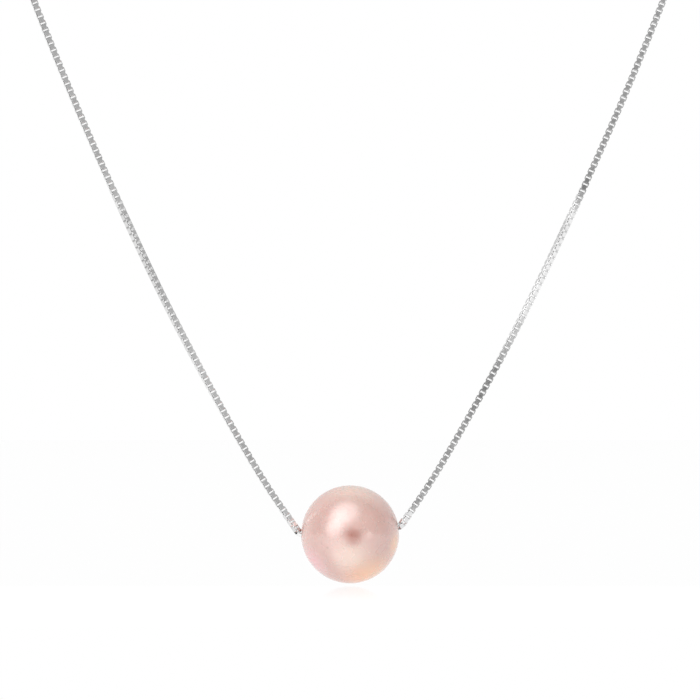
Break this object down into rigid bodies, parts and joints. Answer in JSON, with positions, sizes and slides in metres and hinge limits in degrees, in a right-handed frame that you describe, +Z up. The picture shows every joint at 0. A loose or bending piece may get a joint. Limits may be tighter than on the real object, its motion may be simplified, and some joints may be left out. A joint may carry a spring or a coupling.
{
  "type": "pearl necklace",
  "caption": "Necklace of a round pearl strung on a fine box-link chain, hung over a display bar and closed behind by a spring-ring clasp.",
  "frame": {"origin": "middle of the display bar's axis that the chain hangs over", "axes": "+Z up, +X to the viewer's right, +Y to the back; the pearl hangs in front of the bar and the clasp behind it"},
  "size_m": [0.1073, 0.0136, 0.126],
  "materials": {
    "silver": "bright rhodium-plated silver",
    "pearl": "pink-peach nacre with a soft lustre",
    "spring_steel": "plain spring wire"
  },
  "bodies": {
    "over_bar": {"chain_over_bar_left": "silver", "chain_over_bar_right": "silver"},
    "front_upper": {"chain_front_upper_left": "silver", "chain_front_upper_right": "silver"},
    "front_lower": {"chain_front_lower": "silver"},
    "pearl": {"pearl": "pearl"},
    "back_upper": {"chain_back_upper_left": "silver", "chain_back_upper_right": "silver"},
    "back_lower": {"chain_back_lower_left": "silver", "chain_back_lower_right": "silver", "end_loop_left": "silver", "end_loop_right": "silver"},
    "left_ring": {"jump_ring_left": "silver"},
    "right_ring": {"jump_ring_right": "silver"},
    "tab": {"chain_tab": "silver"},
    "clasp": {"clasp_body": "silver", "clasp_eye": "silver", "clasp_spring": "spring_steel"},
    "bolt": {"clasp_bolt": "silver", "clasp_knob": "silver"}
  },
  "joints": [
    {"name": "front_upper_swing", "type": "hinge", "parent": "over_bar", "child": "front_upper", "pos_m": [0, -0.0036, -0.012], "axis": [1, 0, 0], "range_deg": [-25, 25]},
    {"name": "front_lower_swing", "type": "hinge", "parent": "front_upper", "child": "front_lower", "pos_m": [0, -0.0036, -0.062], "axis": [1, 0, 0], "range_deg": [-25, 25]},
    {"name": "pearl_spin", "type": "hinge", "parent": "front_lower", "child": "pearl", "pos_m": [0, -0.0036, -0.11657], "axis": [0.9974, 0, 0.0726], "continuous": true},
    {"name": "back_upper_swing", "type": "hinge", "parent": "over_bar", "child": "back_upper", "pos_m": [0, 0.0036, -0.007], "axis": [1, 0, 0], "range_deg": [-20, 20]},
    {"name": "back_lower_swing", "type": "hinge", "parent": "back_upper", "child": "back_lower", "pos_m": [0, 0.0036, -0.034], "axis": [1, 0, 0], "range_deg": [-20, 20]},
    {"name": "left_ring_swing", "type": "hinge", "parent": "back_lower", "child": "left_ring", "pos_m": [-0.00681, 0.0036, -0.0509], "axis": [1, 0, 0], "range_deg": [-20, 20]},
    {"name": "right_ring_swing", "type": "hinge", "parent": "back_lower", "child": "right_ring", "pos_m": [0.00681, 0.0036, -0.0509], "axis": [1, 0, 0], "range_deg": [-20, 20]},
    {"name": "tab_swing", "type": "hinge", "parent": "back_lower", "child": "tab", "pos_m": [0.00106, 0.0036, -0.0509], "axis": [1, 0, 0], "range_deg": [-20, 20]},
    {"name": "clasp_swing", "type": "hinge", "parent": "back_lower", "child": "clasp", "pos_m": [-0.00154, 0.0036, -0.0509], "axis": [1, 0, 0], "range_deg": [-20, 20]},
    {"name": "clasp_bolt_slide", "type": "hinge", "parent": "clasp", "child": "bolt", "pos_m": [-0.00154, 0.0036, -0.0509], "axis": [0, 1, 0], "range_deg": [0, 42], "stiffness_Nm_per_rad": 0.003, "springref_deg": -20.05, "deforming": ["clasp_spring"]}
  ]
}
